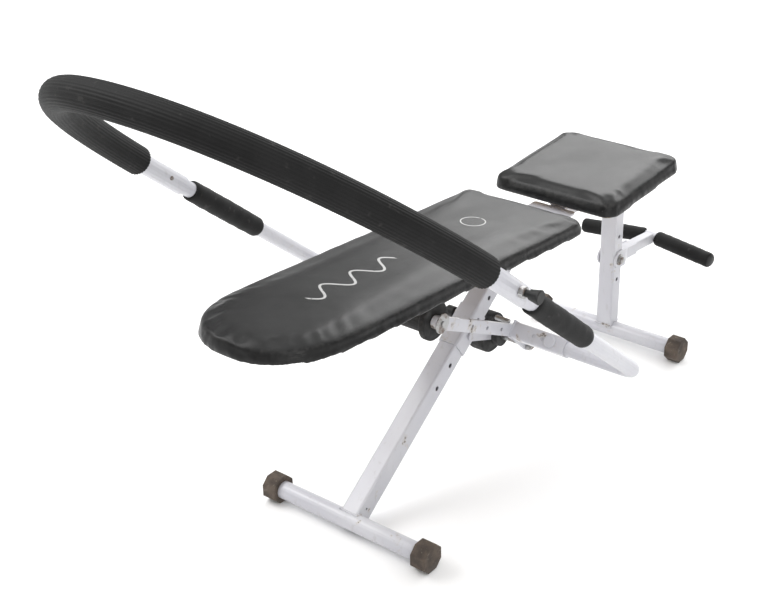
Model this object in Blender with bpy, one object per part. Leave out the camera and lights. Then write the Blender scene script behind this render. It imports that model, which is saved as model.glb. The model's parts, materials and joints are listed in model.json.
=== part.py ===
"""Decline sit-up bench: a hinged back pad over a locking collar, with a foam-covered arc."""

import math

import bmesh
import bpy
from mathutils import Vector

# Lengths are metres in the bench's own axes: X across, Y from the front foot to the seat, Z up.
# ORIGIN puts the bottom centre of the whole bench's box at the world origin.
ORIGIN = Vector((-0.020, -0.342, -0.003))
GAP = 0.0003
SIDES = 24
LEFT_RIGHT = (("left", -1), ("right", 1))

# Feet and frame
FOOT_RADIUS = 0.0175
FOOT_WALL = 0.0015
FOOT_HALF = 0.182
FOOT_HEIGHT = 0.030
REAR_Y = 0.9365
CAP_ACROSS = 0.054
CAP_INNER = 0.164
CAP_OUTER = 0.196
BEAM_WIDTH = 0.038
BEAM_DEPTH = 0.044
BEAM_WALL = 0.002
BEAM_FOOT = Vector((0.0, 0.0109, 0.028))
BEAM_ANGLE = math.radians(35.65)
BEAM_HOLES = (0.297, 0.350, 0.404, 0.458, 0.510)
BEAM_HOLE_RADIUS = 0.005
POST_WIDTH = 0.0385
POST_DEPTH = 0.036
POST_HOLES = (0.1575, 0.2085, 0.2642)
TUBE_TOP = 0.418
SEAT_TUBE_DEPTH = 0.025
PLATE_THICK = 0.004
PLATE_HALF = 0.050
PLATE_ENDS = (0.530, 0.690)

# Seat
SEAT_HALF = 0.148
SEAT_ENDS = (0.667, 0.9615)
SEAT_CORNER = 0.030
SEAT_HEIGHT = 0.036
SEAT_BOARD = 0.010
SEAT_BOTTOM = 0.441
SEAT_SLOPE = math.tan(math.radians(3.0))
RISER_ENDS = (0.700, 0.940)

# Back pad, hinged to the frame behind it
PAD_REAR = 0.579
PAD_NOSE = -0.284
PAD_HALF = 0.143
PAD_NOSE_HALF = 0.1355
PAD_NOSE_LENGTH = 0.175
PAD_NOSE_POWER = 2.3
PAD_CORNER = 0.028
PAD_HEIGHT = 0.034
PAD_BOARD = 0.010
PAD_SLOPE = -0.0831
PAD_LEVEL = (0.564, 0.444)
SKIRT = 0.008
RAIL_CENTRE = 0.0895
RAIL_SIZE = 0.020
RAIL_WALL = 0.0015
RAIL_ENDS = (0.050, 0.613)
PAD_HINGE = Vector((0.0, 0.602, 0.430))
HINGE_ROD = 0.005
HINGE_BARREL = 0.0074

# Collar on the beam and the yoke's pivot behind it
COLLAR_ENDS = (0.385, 0.475)
COLLAR_WALL = 0.0025
LOCK_AT = 0.458
PIVOT = Vector((0.0, 0.445, 0.238))
PIVOT_AXLE = 0.006
BUSH_RADIUS = 0.042

# Yoke: the arms and the arc lie in one plane through the corner line
CORNER = Vector((0.0, 0.383, 0.300))
YOKE_ANGLE = math.radians(39.6)
ROLLER = Vector((0.0, 0.145, 0.421))
ROLLER_AXLE = 0.005
PLATE_X = (0.0937, 0.0997)
BAR_X = (0.1000, 0.1100)
BAR_HALF = 0.012
SLEEVE_X = (0.1103, 0.228)
SLEEVE_SIZE = 0.033
ARM_X = 0.3745
ARM_BEND = 0.034
ARM_RADIUS = 0.0148
ARM_WALL = 0.0015
ARM_END = 0.578
GRIP_ENDS = (0.254, 0.470)
GRIP_RADIUS = 0.020
ARC_START = 0.497
ARC_STRAIGHT = 0.526
ARC_DEPTH = 0.545
ARC_POWER = 2.12
ARC_RADIUS = 0.018
ARC_WALL = 0.0015
ARC_STEPS = 38
FOAM_SKIPS = 2
FOAM_RADIUS = 0.0256
PIN_AT = 0.545
PIN_PITCH = 0.025
PIN_RADIUS = 0.004

# Ankle bar on the rear post
ANKLE_BOLT = Vector((0.0, 0.9365, 0.2085))
ANKLE_APEX = Vector((0.0, 1.130, 0.187))
ANKLE_END = Vector((0.163, 1.099, 0.183))
ANKLE_BAR_RADIUS = 0.0125
ANKLE_GRIP_RADIUS = 0.0175
ANKLE_ARM = (0.022, 0.026)
EAR_THICK = 0.004
EAR_RADIUS = 0.020
EAR_INNER = 0.0196

BEAM_ALONG = Vector((0.0, math.cos(BEAM_ANGLE), math.sin(BEAM_ANGLE)))
BEAM_NORMAL = Vector((0.0, -math.sin(BEAM_ANGLE), math.cos(BEAM_ANGLE)))
YOKE_ALONG = Vector((0.0, -math.cos(YOKE_ANGLE), math.sin(YOKE_ANGLE)))
YOKE_NORMAL = Vector((0.0, math.sin(YOKE_ANGLE), math.cos(YOKE_ANGLE)))
ACROSS = Vector((1.0, 0.0, 0.0))
BACK = Vector((0.0, 1.0, 0.0))
UP = Vector((0.0, 0.0, 1.0))

# name: colour, roughness, metallic
FINISHES = {
    "paint": ((0.60, 0.60, 0.63), 0.38, 0.0),
    "steel": ((0.42, 0.40, 0.37), 0.42, 0.9),
    "rubber": ((0.055, 0.045, 0.038), 0.85, 0.0),
    "bush": ((0.02, 0.02, 0.02), 0.70, 0.0),
    "foam": ((0.025, 0.025, 0.027), 0.75, 0.0),
    "vinyl": ((0.018, 0.018, 0.020), 0.30, 0.0),
    "board": ((0.22, 0.15, 0.09), 0.80, 0.0),
    "plastic": ((0.02, 0.02, 0.022), 0.40, 0.0),
}


def clear_scene():
    for obj in list(bpy.data.objects):
        bpy.data.objects.remove(obj, do_unlink=True)


def add_axis(name, place, parent=None):
    """An empty on a joint's axis, given in the bench's axes, that carries a body's pieces."""
    axis = bpy.data.objects.new(name, None)
    axis.empty_display_size = 0.05
    axis["place"] = place
    bpy.context.scene.collection.objects.link(axis)
    axis.parent = parent
    axis.location = place - Vector(parent["place"]) if parent else place + ORIGIN
    return axis


def material(name, finish):
    colour, roughness, metallic = FINISHES[finish]
    surface = bpy.data.materials.new(name)
    surface.use_nodes = True
    surface.diffuse_color = (*colour, 1.0)
    shader = surface.node_tree.nodes["Principled BSDF"]
    shader.inputs["Base Color"].default_value = (*colour, 1.0)
    shader.inputs["Roughness"].default_value = roughness
    shader.inputs["Metallic"].default_value = metallic
    return surface


def add_object(name, axis, bm, finish):
    """A mesh object from a bmesh in the bench's axes, with its origin on its axis."""
    bmesh.ops.recalc_face_normals(bm, faces=bm.faces[:])
    bmesh.ops.translate(bm, verts=bm.verts[:], vec=-Vector(axis["place"]))
    mesh = bpy.data.meshes.new(name)
    bm.to_mesh(mesh)
    bm.free()
    mesh.shade_smooth()
    mesh.set_sharp_from_angle(angle=math.radians(35))
    mesh.materials.append(material(name, finish))
    obj = bpy.data.objects.new(name, mesh)
    bpy.context.scene.collection.objects.link(obj)
    obj.parent = axis
    return obj


def skin(bm, rings, looped=False):
    """Faces between neighbouring rings, closed at both ends, or joined end to end if looped."""
    loops = [[bm.verts.new(point) for point in ring] for ring in rings]
    pairs = list(zip(loops, loops[1:]))
    if looped:
        pairs.append((loops[-1], loops[0]))
    else:
        bm.faces.new(loops[0])
        bm.faces.new(loops[-1])
    for low, high in pairs:
        for i in range(len(low)):
            j = (i + 1) % len(low)
            bm.faces.new((low[i], low[j], high[j], high[i]))


def loft(name, axis, rings, finish, looped=False):
    bm = bmesh.new()
    skin(bm, rings, looped)
    return add_object(name, axis, bm, finish)


def place_ring(centre, u, v, points):
    return [centre + u * a + v * b for a, b in points]


def circle(radius, sides=SIDES):
    turns = [math.tau * (i + 0.5) / sides for i in range(sides)]
    return [(radius * math.cos(t), radius * math.sin(t)) for t in turns]


def polygon(across, corners, sides=SIDES):
    """A regular polygon, with a flat side facing down, as the same number of points as a circle."""
    step = math.tau / corners
    points = []
    for i in range(sides):
        turn = math.tau * (i + 0.5) / sides
        from_side = (turn + math.pi / 2 + step / 2) % step - step / 2
        reach = across / 2 / math.cos(from_side)
        points.append((reach * math.cos(turn), reach * math.sin(turn)))
    return points


def rounded_box(width, depth, radius, steps=3):
    points = []
    for quarter in range(4):
        turn = math.pi / 2 * quarter
        side_x = 1 if quarter in (0, 3) else -1
        side_y = 1 if quarter in (0, 1) else -1
        for i in range(steps + 1):
            t = turn + math.pi / 2 * i / steps
            x = side_x * (width / 2 - radius) + radius * math.cos(t)
            y = side_y * (depth / 2 - radius) + radius * math.sin(t)
            points.append((x, y))
    return points


def turned(name, axis, place, profile, finish, direction=ACROSS):
    """A solid or a ring turned about a direction, from (distance along, radius) pairs.

    A profile that ends where it starts makes a ring with a bore.
    """
    u = BACK if abs(direction.x) > 0.5 else ACROSS
    v = direction.cross(u)
    bored = profile[0] == profile[-1]
    if bored:
        profile = profile[:-1]
    rings = [place_ring(place + direction * at, u, v, circle(r)) for at, r in profile]
    return loft(name, axis, rings, finish, looped=bored)


def washer(start, end, radius, bore):
    return [(start, bore), (start, radius), (end, radius), (end, bore), (start, bore)]


def drill(obj, holes):
    """Cuts round holes, each given as its ends and radius in the bench's axes."""
    bm = bmesh.new()
    for start, end, radius in holes:
        direction = (end - start).normalized()
        u = BACK if abs(direction.x) > 0.5 else ACROSS
        v = direction.cross(u)
        outline = circle(radius, SIDES if radius > 0.01 else 16)
        skin(bm, [place_ring(point, u, v, outline) for point in (start, end)])
    cutter = add_object(obj.name + "_cutter", obj.parent, bm, "steel")
    cutter.hide_render = True
    cutter.display_type = "WIRE"
    cut = obj.modifiers.new("holes", "BOOLEAN")
    cut.operation = "DIFFERENCE"
    cut.solver = "EXACT"
    cut.object = cutter


def cross_hole(y, z, radius, low=-0.05, high=0.05):
    return Vector((low, y, z)), Vector((high, y, z)), radius


def box_tube(name, axis, ends, wall_sections, finish="paint"):
    """A hollow tube: ends gives a function from (a, b) profile points to a ring, for each end."""
    outer, inner = wall_sections
    first, last = ends
    rings = [first(outer), last(outer), last(inner), first(inner)]
    return loft(name, axis, rings, finish, looped=True)


def capsule(start, end, radius):
    """The outline in Y and Z of a flat bar with round ends."""
    along = (end - start).normalized()
    heading = math.atan2(along.z, along.y)
    points = []
    for centre, turn in ((end, heading - math.pi / 2), (start, heading + math.pi / 2)):
        for i in range(9):
            t = turn + math.pi * i / 8
            points.append((centre.y + radius * math.cos(t), centre.z + radius * math.sin(t)))
    return points


def flat_bar(name, axis, side, span, start, end, radius):
    outline = capsule(start, end, radius)
    rings = [[Vector((side * x, y, z)) for y, z in outline] for x in span]
    return loft(name, axis, rings, "paint")


def sweep_rings(path, normal, outline):
    """Rings square to a path that bends in one plane, whose normal is given."""
    rings = []
    for i, point in enumerate(path):
        ahead = path[min(i + 1, len(path) - 1)]
        behind = path[max(i - 1, 0)]
        side = normal.cross((ahead - behind).normalized())
        rings.append(place_ring(point, side, normal, outline))
    return rings


def pipe(name, axis, path, normal, radius, bore, finish, sides=16):
    outer = sweep_rings(path, normal, circle(radius, sides))
    inner = sweep_rings(path, normal, circle(bore, sides))
    return loft(name, axis, outer + inner[::-1], finish, looped=True)


# Frame


def make_feet(frame):
    for place, y in (("front", 0.0), ("rear", REAR_Y)):
        centre = Vector((0.0, y, FOOT_HEIGHT))
        bore = FOOT_RADIUS - FOOT_WALL
        profile = washer(-FOOT_HALF, FOOT_HALF, FOOT_RADIUS, bore)
        turned(place + "_foot_tube", frame, centre, profile, "paint")
        for side, sign in LEFT_RIGHT:
            make_cap(f"{place}_{side}_cap", frame, centre, sign)


def make_cap(name, frame, centre, sign):
    """An eight-sided push-on cap with a blind round socket."""
    socket = FOOT_RADIUS + GAP
    deep = FOOT_HALF + 2 * GAP
    chamfer = 0.002
    stations = (
        (deep, circle(socket)),
        (CAP_INNER, circle(socket)),
        (CAP_INNER, polygon(CAP_ACROSS - chamfer, 8)),
        (CAP_INNER + chamfer, polygon(CAP_ACROSS, 8)),
        (CAP_OUTER - chamfer, polygon(CAP_ACROSS, 8)),
        (CAP_OUTER, polygon(CAP_ACROSS - 2 * chamfer, 8)),
    )
    rings = [
        place_ring(centre + ACROSS * sign * at, BACK, UP, outline)
        for at, outline in stations
    ]
    loft(name, frame, rings, "rubber")


def beam_point(along, off=0.0, x=0.0):
    return BEAM_FOOT + BEAM_ALONG * along + BEAM_NORMAL * off + ACROSS * x


def beam_sections():
    outer = rounded_box(BEAM_WIDTH, BEAM_DEPTH, 0.004)
    inner = rounded_box(BEAM_WIDTH - 2 * BEAM_WALL, BEAM_DEPTH - 2 * BEAM_WALL, 0.002)
    return outer, inner


def make_beam(frame):
    def at_foot(points):
        return [beam_point(-0.001, b, a) for a, b in points]

    def at_top(points):
        ring = []
        for a, b in points:
            start = beam_point(0.0, b, a)
            reach = (TUBE_TOP - start.z) / BEAM_ALONG.z
            ring.append(start + BEAM_ALONG * reach)
        return ring

    beam = box_tube("main_beam", frame, (at_foot, at_top), beam_sections())
    holes = [cross_hole(0.0, FOOT_HEIGHT, FOOT_RADIUS + GAP)]
    for along in BEAM_HOLES:
        point = beam_point(along)
        holes.append(cross_hole(point.y, point.z, BEAM_HOLE_RADIUS))
    low = beam_point(0.026, 0.004)
    holes.append(cross_hole(low.y, low.z, 0.0025))
    drill(beam, holes)


def make_post(frame):
    outer = rounded_box(POST_WIDTH, POST_DEPTH, 0.004)
    inner = rounded_box(POST_WIDTH - 2 * BEAM_WALL, POST_DEPTH - 2 * BEAM_WALL, 0.002)
    top = TUBE_TOP - SEAT_TUBE_DEPTH - GAP

    def at_height(z):
        centre = Vector((0.0, REAR_Y, z))
        return lambda points: place_ring(centre, ACROSS, BACK, points)

    ends = (at_height(FOOT_HEIGHT + 0.006), at_height(top))
    post = box_tube("rear_post", frame, ends, (outer, inner))
    holes = [cross_hole(REAR_Y, FOOT_HEIGHT, FOOT_RADIUS + GAP)]
    holes += [cross_hole(REAR_Y, z, 0.0048) for z in POST_HOLES]
    drill(post, holes)


def make_seat_tube(frame):
    middle = TUBE_TOP - SEAT_TUBE_DEPTH / 2
    outer = rounded_box(BEAM_WIDTH, SEAT_TUBE_DEPTH, 0.003)
    inner = rounded_box(BEAM_WIDTH - 2 * BEAM_WALL, SEAT_TUBE_DEPTH - 2 * BEAM_WALL, 0.0015)

    def at_beam(points):
        """The front end follows the beam's sloping rear face."""
        ring = []
        for a, b in points:
            rear = beam_point(0.0, -BEAM_DEPTH / 2 - GAP)
            y = rear.y + (middle + b - rear.z) / math.tan(BEAM_ANGLE)
            ring.append(Vector((a, y, middle + b)))
        return ring

    def at_post(points):
        return [Vector((a, REAR_Y + POST_DEPTH / 2, middle + b)) for a, b in points]

    box_tube("seat_tube", frame, (at_beam, at_post), (outer, inner))


def make_hinge_plate(frame):
    low = TUBE_TOP + GAP
    front, back = PLATE_ENDS
    outline = rounded_box(2 * PLATE_HALF, back - front, 0.006)
    middle = Vector((0.0, (front + back) / 2, 0.0))
    rings = [
        place_ring(middle + UP * z, ACROSS, BACK, outline)
        for z in (low, low + PLATE_THICK)
    ]
    plate = loft("hinge_plate", frame, rings, "paint")
    hole = Vector((0.0, 0.648, low))
    drill(plate, [(hole - UP * 0.01, hole + UP * 0.01, 0.006)])
    bore = HINGE_ROD + GAP
    barrel = washer(-0.073, 0.073, HINGE_BARREL, bore)
    turned("hinge_barrel", frame, PAD_HINGE, barrel, "paint")
    head = 0.0085
    rail_face = RAIL_CENTRE + RAIL_SIZE / 2 + GAP
    rod = [
        (-rail_face - 0.004, head),
        (-rail_face, head),
        (-rail_face, HINGE_ROD),
        (rail_face, HINGE_ROD),
        (rail_face, head),
        (rail_face + 0.004, head),
    ]
    turned("hinge_rod", frame, PAD_HINGE, rod, "steel")


# Seat and back pad


def inset_outline(points, distance):
    """Moves each point of a counter-clockwise outline inwards, square to its neighbours."""
    moved = []
    for i, (x, y) in enumerate(points):
        before = points[i - 1]
        after = points[(i + 1) % len(points)]
        dx, dy = after[0] - before[0], after[1] - before[1]
        length = math.hypot(dx, dy)
        moved.append((x - distance * dy / length, y + distance * dx / length))
    return moved


def slab_ring(outline, inset, bottom, height):
    """A ring of an outline in X and Y, lifted above a sloping bottom surface."""
    return [Vector((x, y, bottom(y) + height)) for x, y in inset_outline(outline, inset)]


def make_pad(name, axis, outline, bottom, board, height):
    """A padded top wrapped over its board: the board fills a pocket in the underside."""
    pocket = SKIRT + GAP
    edge = 0.0015
    stations = (
        (pocket, board + GAP),
        (pocket, 0.0),
        (edge, 0.0),
        (0.0, edge),
        (0.0, height - 0.010),
        (0.0012, height - 0.006),
        (0.0045, height - 0.0025),
        (0.011, height - 0.0008),
        (0.022, height),
    )
    rings = [slab_ring(outline, inset, bottom, up) for inset, up in stations]
    loft(name + "_pad", axis, rings, "vinyl")
    inside = [slab_ring(outline, SKIRT + 2 * GAP, bottom, up) for up in (0.0, board)]
    loft(name + "_board", axis, inside, "board")


def seat_bottom(y):
    middle = (SEAT_ENDS[0] + SEAT_ENDS[1]) / 2
    return SEAT_BOTTOM + (y - middle) * SEAT_SLOPE


def make_seat(frame):
    front, back = SEAT_ENDS
    middle = (front + back) / 2
    square = rounded_box(2 * SEAT_HALF, back - front, SEAT_CORNER, 6)
    outline = [(x, y + middle) for x, y in square]
    make_pad("seat", frame, outline, seat_bottom, SEAT_BOARD, SEAT_HEIGHT)
    low = TUBE_TOP + GAP
    first, last = RISER_ENDS
    profile = (
        (first, low),
        (last, low),
        (last, seat_bottom(last) - GAP),
        (first, seat_bottom(first) - GAP),
    )
    half = BEAM_WIDTH / 2
    rings = [[Vector((x, y, z)) for y, z in profile] for x in (-half, half)]
    loft("seat_riser", frame, rings, "paint")


def pad_bottom(y):
    level_y, level_z = PAD_LEVEL
    return level_z + (y - level_y) * PAD_SLOPE


def back_outline():
    """Counter-clockwise from above: rear right corner, rear left corner, then round the nose."""
    points = []
    for sign, first in ((1, 0.0), (-1, math.pi / 2)):
        for i in range(5):
            t = first + math.pi / 2 * i / 4
            x = sign * (PAD_HALF - PAD_CORNER) + PAD_CORNER * math.cos(t)
            points.append((x, PAD_REAR - PAD_CORNER + PAD_CORNER * math.sin(t)))
    nose_start = PAD_NOSE + PAD_NOSE_LENGTH
    straight = 6
    left = []
    for i in range(1, straight + 1):
        part = i / (straight + 1)
        y = PAD_REAR - PAD_CORNER + (nose_start - PAD_REAR + PAD_CORNER) * part
        left.append((-(PAD_HALF + (PAD_NOSE_HALF - PAD_HALF) * part), y))
    points += left
    steps = 28
    for i in range(steps + 1):
        t = math.pi * i / steps
        across = abs(math.cos(t)) ** (2 / PAD_NOSE_POWER) * PAD_NOSE_HALF
        ahead = math.sin(t) ** (2 / PAD_NOSE_POWER) * PAD_NOSE_LENGTH
        points.append((math.copysign(across, -math.cos(t)), nose_start - ahead))
    points += [(-x, y) for x, y in reversed(left)]
    return points


def make_back(pad):
    make_pad("back", pad, back_outline(), pad_bottom, PAD_BOARD, PAD_HEIGHT)
    outer = rounded_box(RAIL_SIZE, RAIL_SIZE, 0.003)
    hollow = RAIL_SIZE - 2 * RAIL_WALL
    inner = rounded_box(hollow, hollow, 0.0015)
    for side, sign in LEFT_RIGHT:

        def at(y):
            height = pad_bottom(y) - GAP - RAIL_SIZE / 2
            centre = Vector((sign * RAIL_CENTRE, y, height))
            return lambda points: place_ring(centre, ACROSS, UP, points)

        ends = (at(RAIL_ENDS[0]), at(RAIL_ENDS[1]))
        rail = box_tube("pad_rail_" + side, pad, ends, (outer, inner))
        drill(rail, [cross_hole(PAD_HINGE.y, PAD_HINGE.z, HINGE_ROD + GAP, -0.11, 0.11)])


# Collar


def make_collar(collar):
    width, depth = BEAM_WIDTH + 2 * GAP, BEAM_DEPTH + 2 * GAP
    inner = rounded_box(width, depth, 0.0043)
    outer = rounded_box(width + 2 * COLLAR_WALL, depth + 2 * COLLAR_WALL, 0.0065)

    def at(along):
        return lambda points: [beam_point(along, b, a) for a, b in points]

    ends = (at(COLLAR_ENDS[0]), at(COLLAR_ENDS[1]))
    sleeve = box_tube("collar", collar, ends, (outer, inner))
    lock = beam_point(LOCK_AT)
    drill(sleeve, [cross_hole(lock.y, lock.z, BEAM_HOLE_RADIUS)])
    face = width / 2 + COLLAR_WALL
    lug_top = beam_point(0.425, -0.005)
    for side, sign in LEFT_RIGHT:
        span = (face + GAP, face + GAP + 0.004)
        lug = flat_bar("collar_lug_" + side, collar, sign, span, lug_top, PIVOT, 0.011)
        drill(lug, [cross_hole(PIVOT.y, PIVOT.z, PIVOT_AXLE + GAP)])
    make_nut("lock_nut", collar, lock, -face - GAP - 0.008, -face - GAP, 0.018, 0.0048)


def make_nut(name, axis, place, start, end, across, bore):
    """A six-sided nut with a round bore along X."""
    stations = (
        (start, circle(bore)),
        (start, polygon(across, 6)),
        (end, polygon(across, 6)),
        (end, circle(bore)),
    )
    rings = [place_ring(place + ACROSS * x, BACK, UP, outline) for x, outline in stations]
    return loft(name, axis, rings, "steel", looped=True)


def make_pivot(collar):
    bore = PIVOT_AXLE + GAP
    axle = [
        (-0.106, 0.0085),
        (-0.105, 0.0095),
        (-0.1002, 0.0095),
        (-0.1002, PIVOT_AXLE),
        (0.1105, PIVOT_AXLE),
        (0.112, 0.005),
    ]
    turned("pivot_axle", collar, PIVOT, axle, "steel")
    bush = [
        (-0.019, bore),
        (-0.019, BUSH_RADIUS - 0.003),
        (-0.016, BUSH_RADIUS),
        (0.016, BUSH_RADIUS),
        (0.019, BUSH_RADIUS - 0.003),
        (0.019, bore),
        (-0.019, bore),
    ]
    turned("pivot_bush", collar, PIVOT, bush, "bush")
    for side, sign in LEFT_RIGHT:
        spacer = washer(sign * 0.0265, sign * 0.040, 0.022, bore)
        turned("pivot_spacer_" + side, collar, PIVOT, spacer, "bush")
    make_nut("pivot_nut", collar, PIVOT, 0.1002, 0.108, 0.019, bore)


def make_lock_pin(axis):
    face = BEAM_WIDTH / 2 + GAP
    profile = [
        (-face, 0.0042),
        (-0.0306, 0.0042),
        (-0.0306, 0.007),
        (-0.034, 0.0115),
        (-0.050, 0.0115),
        (-0.052, 0.0095),
    ]
    turned("lock_pin", axis, beam_point(LOCK_AT), profile, "plastic")


# Yoke


def yoke_point(x, along, off=0.0):
    return CORNER + ACROSS * x + YOKE_ALONG * along + YOKE_NORMAL * off


def make_yoke_bars(yoke):
    reach = (ROLLER - CORNER).normalized()
    for side, sign in LEFT_RIGHT:
        plate = flat_bar("pivot_plate_" + side, yoke, sign, PLATE_X, CORNER, PIVOT, BAR_HALF)
        drill(plate, [cross_hole(PIVOT.y, PIVOT.z, PIVOT_AXLE + GAP, -0.12, 0.12)])
        tip = ROLLER + reach * 0.010
        bar = flat_bar("side_bar_" + side, yoke, sign, BAR_X, CORNER, tip, BAR_HALF)
        holes = [cross_hole(ROLLER.y, ROLLER.z, ROLLER_AXLE + GAP, -0.12, 0.12)]
        for part in (0.2, 0.4, 0.6):
            point = CORNER.lerp(ROLLER, part)
            holes.append(cross_hole(point.y, point.z, 0.004, -0.12, 0.12))
        drill(bar, holes)
        peg = [(sign * 0.062, 0.004), (sign * 0.063, 0.005), (sign * 0.0934, 0.005)]
        turned("stop_peg_" + side, yoke, Vector((0.0, 0.386, 0.3135)), peg, "steel")


def make_sleeves(yoke):
    start, end = SLEEVE_X
    outer = rounded_box(SLEEVE_SIZE, SLEEVE_SIZE, 0.005, 5)
    inner = circle(ARM_RADIUS + GAP)
    pin_x = 0.195
    face = SLEEVE_SIZE / 2
    for side, sign in LEFT_RIGHT:
        rings = [
            place_ring(yoke_point(sign * x, 0.0), YOKE_ALONG, YOKE_NORMAL, outline)
            for x, outline in ((start, inner), (start, outer), (end, outer), (end, inner))
        ]
        sleeve = loft("cross_sleeve_" + side, yoke, rings, "paint", looped=True)
        holes = []
        for x in (0.160, 0.178, pin_x):
            centre = yoke_point(sign * x, 0.0)
            holes.append((centre + YOKE_ALONG * 0.010, centre + YOKE_ALONG * 0.025, 0.0035))
        centre = yoke_point(sign * 0.150, 0.0)
        holes.append((centre + YOKE_NORMAL * 0.010, centre + YOKE_NORMAL * 0.025, 0.0035))
        drill(sleeve, holes)
        rivet = [
            (face - 0.001, 0.003),
            (face + GAP, 0.003),
            (face + GAP, 0.0125),
            (face + 0.0018, 0.0125),
            (face + 0.003, 0.010),
        ]
        place = yoke_point(sign * pin_x, 0.0)
        turned("sleeve_pin_" + side, yoke, place, rivet, "steel", YOKE_ALONG)


def make_arms(yoke):
    bore = ARM_RADIUS - ARM_WALL
    for side, sign in LEFT_RIGHT:
        path = [yoke_point(sign * (SLEEVE_X[0] + 0.0005), 0.0)]
        for i in range(9):
            t = math.pi / 2 * i / 8
            x = ARM_X - ARM_BEND + ARM_BEND * math.sin(t)
            path.append(yoke_point(sign * x, ARM_BEND - ARM_BEND * math.cos(t)))
        path.append(yoke_point(sign * ARM_X, ARM_END))
        arm = pipe("arm_tube_" + side, yoke, path, YOKE_NORMAL, ARM_RADIUS, bore, "paint")
        holes = []
        for along in (PIN_AT, PIN_AT + PIN_PITCH):
            centre = yoke_point(sign * ARM_X, along)
            holes.append((centre + ACROSS * 0.008, centre + ACROSS * 0.025, PIN_RADIUS + GAP))
        drill(arm, holes)
        grip = [yoke_point(sign * ARM_X, along) for along in GRIP_ENDS]
        foam = (GRIP_RADIUS, ARM_RADIUS + GAP)
        pipe("hand_grip_" + side, yoke, grip, YOKE_NORMAL, *foam, "foam", SIDES)


def make_roller(yoke, roller):
    bore = ROLLER_AXLE + GAP
    face = BAR_X[1] + GAP
    axle = [
        (-face - 0.004, 0.0085),
        (-face, 0.0095),
        (-face, ROLLER_AXLE),
        (0.115, ROLLER_AXLE),
    ]
    turned("roller_axle", yoke, ROLLER, axle, "steel")
    plate = washer(face, face + 0.002, 0.019, bore)
    turned("roller_washer", yoke, ROLLER, plate, "steel")
    drum, rim, edge = 0.027, 0.0372, 0.002
    inner, outer = 0.0835, 0.0975
    half = [(inner, drum), (inner, rim - edge), (inner + edge, rim), (outer - edge, rim)]
    half += [(outer, rim - edge), (outer, bore)]
    mirrored = [(-at, radius) for at, radius in reversed(half)]
    spool = mirrored + half + mirrored[:1]
    turned("front_roller", roller, ROLLER, spool, "bush")


# Arc


def arc_curve():
    """Half of a superellipse, from the right leg round to the left one."""
    path = []
    for i in range(ARC_STEPS + 1):
        t = math.pi * i / ARC_STEPS
        across = abs(math.cos(t)) ** (2 / ARC_POWER) * ARM_X
        along = ARC_STRAIGHT + abs(math.sin(t)) ** (2 / ARC_POWER) * ARC_DEPTH
        path.append(yoke_point(math.copysign(across, math.cos(t)), along))
    return path


def make_arc(arc):
    bore = ARC_RADIUS - ARC_WALL
    curve = arc_curve()
    path = [yoke_point(ARM_X, ARC_START), *curve, yoke_point(-ARM_X, ARC_START)]
    tube = pipe("arc_tube", arc, path, YOKE_NORMAL, ARC_RADIUS, bore, "paint")
    holes = []
    for _, sign in LEFT_RIGHT:
        centre = yoke_point(sign * ARM_X, PIN_AT)
        holes.append((centre + ACROSS * 0.012, centre + ACROSS * 0.025, PIN_RADIUS + GAP))
    drill(tube, holes)
    foam = curve[FOAM_SKIPS : -FOAM_SKIPS]
    pipe("arc_foam", arc, foam, YOKE_NORMAL, FOAM_RADIUS, ARC_RADIUS + 2 * GAP, "foam")
    place = yoke_point(ARM_X, PIN_AT)
    start = ARC_RADIUS + GAP
    make_nut("pull_pin_nut", arc, place, start, start + 0.008, 0.018, PIN_RADIUS + GAP)


def make_pins(pull_axis, button_axis):
    tip = ARM_RADIUS + GAP
    stem = ARC_RADIUS + 0.0090
    knob = stem + 0.0077
    profile = [
        (tip, PIN_RADIUS),
        (stem, PIN_RADIUS),
        (stem, 0.006),
        (knob, 0.006),
        (knob, 0.0085),
        (knob + 0.0175, 0.012),
        (knob + 0.0190, 0.0105),
    ]
    turned("pull_knob", pull_axis, yoke_point(ARM_X, PIN_AT), profile, "plastic")
    dome = [(tip, PIN_RADIUS), (0.0195, PIN_RADIUS), (0.0205, 0.0034), (0.021, 0.002)]
    turned("snap_button", button_axis, yoke_point(-ARM_X, PIN_AT), dome, "steel")


# Ankle bar


def ankle_line(y):
    """Height of the ankle arm's middle."""
    slope = (ANKLE_APEX.z - ANKLE_BOLT.z) / (ANKLE_APEX.y - ANKLE_BOLT.y)
    return ANKLE_BOLT.z + max(0.0, y - ANKLE_BOLT.y) * slope


def make_ears(ankle):
    """Flat straps with round front ends, cranked inwards to grip the narrower arm."""
    arm_face = ANKLE_ARM[0] / 2 + GAP
    arm_half = ANKLE_ARM[1] / 2
    stations = []
    for i in range(9):
        t = math.pi / 2 * (0.06 + 0.94 * i / 8)
        y = ANKLE_BOLT.y - EAR_RADIUS * math.cos(t)
        stations.append((y, EAR_RADIUS * math.sin(t), EAR_INNER))
    stations += [
        (0.962, EAR_RADIUS, EAR_INNER),
        (0.986, arm_half, arm_face),
        (1.030, arm_half, arm_face),
    ]
    for side, sign in LEFT_RIGHT:
        rings = []
        for y, half, inner in stations:
            z = ankle_line(y)
            outer = inner + EAR_THICK
            corners = ((inner, -half), (outer, -half), (outer, half), (inner, half))
            rings.append([Vector((sign * x, y, z + up)) for x, up in corners])
        ear = loft("ankle_ear_" + side, ankle, rings, "paint")
        drill(ear, [cross_hole(ANKLE_BOLT.y, ANKLE_BOLT.z, 0.0048)])


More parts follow.
